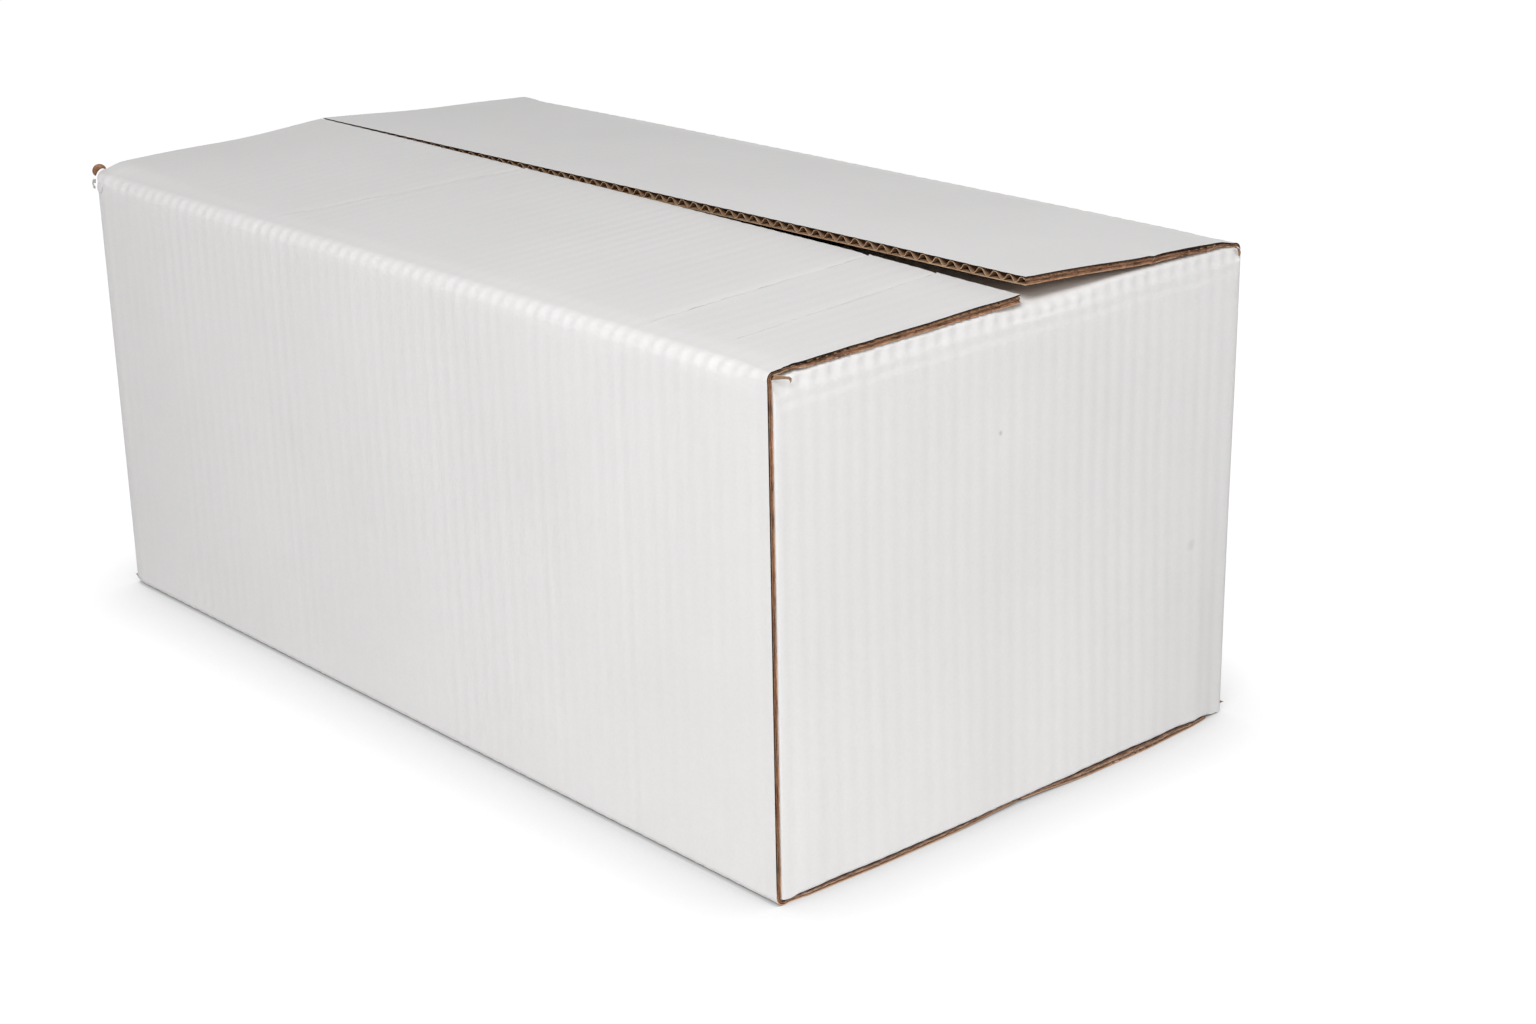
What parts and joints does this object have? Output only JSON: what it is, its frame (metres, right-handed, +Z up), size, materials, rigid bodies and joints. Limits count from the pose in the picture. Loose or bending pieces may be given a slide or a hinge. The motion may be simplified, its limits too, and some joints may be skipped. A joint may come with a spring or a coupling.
{
  "type": "corrugated shipping box",
  "caption": "Plain white regular slotted box of single-wall fluted board, with two sprung outer top flaps on creases.",
  "frame": {"origin": "centre of the bottom face", "axes": "+X along the box's length towards the end wall with the glued corner, +Y towards the rear long wall, +Z up"},
  "size_m": [0.4, 0.214, 0.18],
  "materials": {
    "white_board": "matt white liner outside, brown kraft inside and at the cut edges"
  },
  "bodies": {
    "body": {"box_body": "white_board"},
    "front": {"front_flap": "white_board"},
    "rear": {"rear_flap": "white_board"}
  },
  "joints": [
    {"name": "front_crease", "type": "hinge", "parent": "body", "child": "front", "pos_m": [0, -0.107, 0.172], "axis": [1, 0, 0], "range_deg": [-1.5, 260]},
    {"name": "rear_crease", "type": "hinge", "parent": "body", "child": "rear", "pos_m": [0, 0.107, 0.172], "axis": [-1, 0, 0], "range_deg": [-3, 260]}
  ]
}
